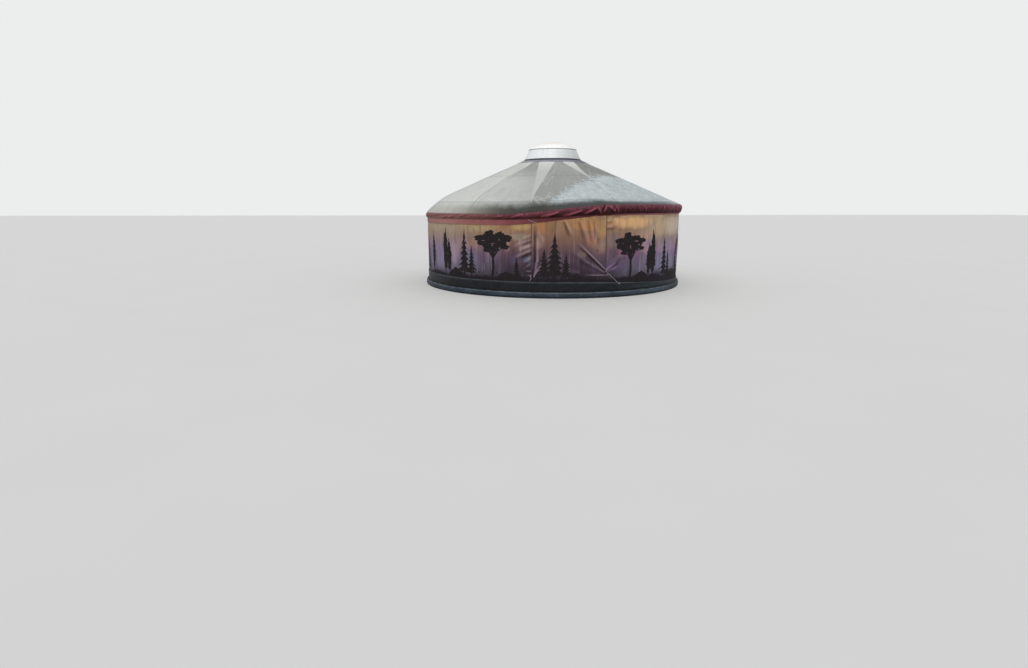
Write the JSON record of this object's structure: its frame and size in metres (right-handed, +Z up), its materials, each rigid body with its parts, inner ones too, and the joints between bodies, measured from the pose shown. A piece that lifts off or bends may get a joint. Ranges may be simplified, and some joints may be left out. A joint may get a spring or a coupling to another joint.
{
  "type": "yurt",
  "caption": "Round tent house with a low lattice wall under a conical sewn roof, a gathered hem round the eave, a closed canvas door flap, a white dome over the crown and a timber platform.",
  "frame": {"origin": "on the ground, under the crown's centre, on the underside of the middle bearer", "axes": "+Z up; the doorway faces -Y; +X is to the right of someone who faces the doorway"},
  "size_m": [6.1756, 6.1594, 3.3079],
  "materials": {
    "kerb_tarpaulin": "matt",
    "foot_tarpaulin": "matt",
    "platform_timber": "matt",
    "floor_timber": "satin",
    "door_timber": "satin",
    "painted_canvas": "matt",
    "painted_flap": "matt",
    "flap_edge": "matt",
    "lattice_willow": "satin",
    "wool_felt": "matt",
    "pole_wood": "satin",
    "crown_wood": "satin",
    "seal_rubber": "matt",
    "curb_vinyl": "satin",
    "rim_plastic": "satin",
    "dome_plastic": "satin",
    "strap_web": "matt",
    "roof_canvas": "matt",
    "hem_cloth": "matt",
    "hem_facing": "matt"
  },
  "bodies": {
    "root": {"ground_kerb": "kerb_tarpaulin", "foot_band": "foot_tarpaulin", "platform_rim": "platform_timber", "platform_bearers": "platform_timber", "platform_joists": "platform_timber", "floor_deck": "floor_timber", "door_sill": "door_timber", "door_posts": "door_timber", "door_lintel": "door_timber", "door_flap": "painted_flap", "flap_strip": "flap_edge", "felt_right": "wool_felt", "felt_back": "wool_felt", "felt_left": "wool_felt", "roof_poles_right": "pole_wood", "roof_poles_back": "pole_wood", "roof_poles_left": "pole_wood", "crown_ring": "crown_wood", "crown_bars": "crown_wood", "crown_seal": "seal_rubber", "crown_curb": "curb_vinyl", "dome_rim": "rim_plastic", "crown_dome": "dome_plastic", "crown_band": "strap_web", "hem_roll": "hem_cloth", "hem_fall": "hem_facing", "lattice_1": "lattice_willow", "wall_cover_1": "painted_canvas", "roof_cover_1": "roof_canvas", "lattice_2": "lattice_willow", "wall_cover_2": "painted_canvas", "roof_cover_2": "roof_canvas", "lattice_3": "lattice_willow", "wall_cover_3": "painted_canvas", "roof_cover_3": "roof_canvas", "lattice_4": "lattice_willow", "wall_cover_4": "painted_canvas", "roof_cover_4": "roof_canvas", "lattice_5": "lattice_willow", "wall_cover_5": "painted_canvas", "roof_cover_5": "roof_canvas", "lattice_6": "lattice_willow", "wall_cover_6": "painted_canvas", "roof_cover_6": "roof_canvas"}
  },
  "joints": []
}
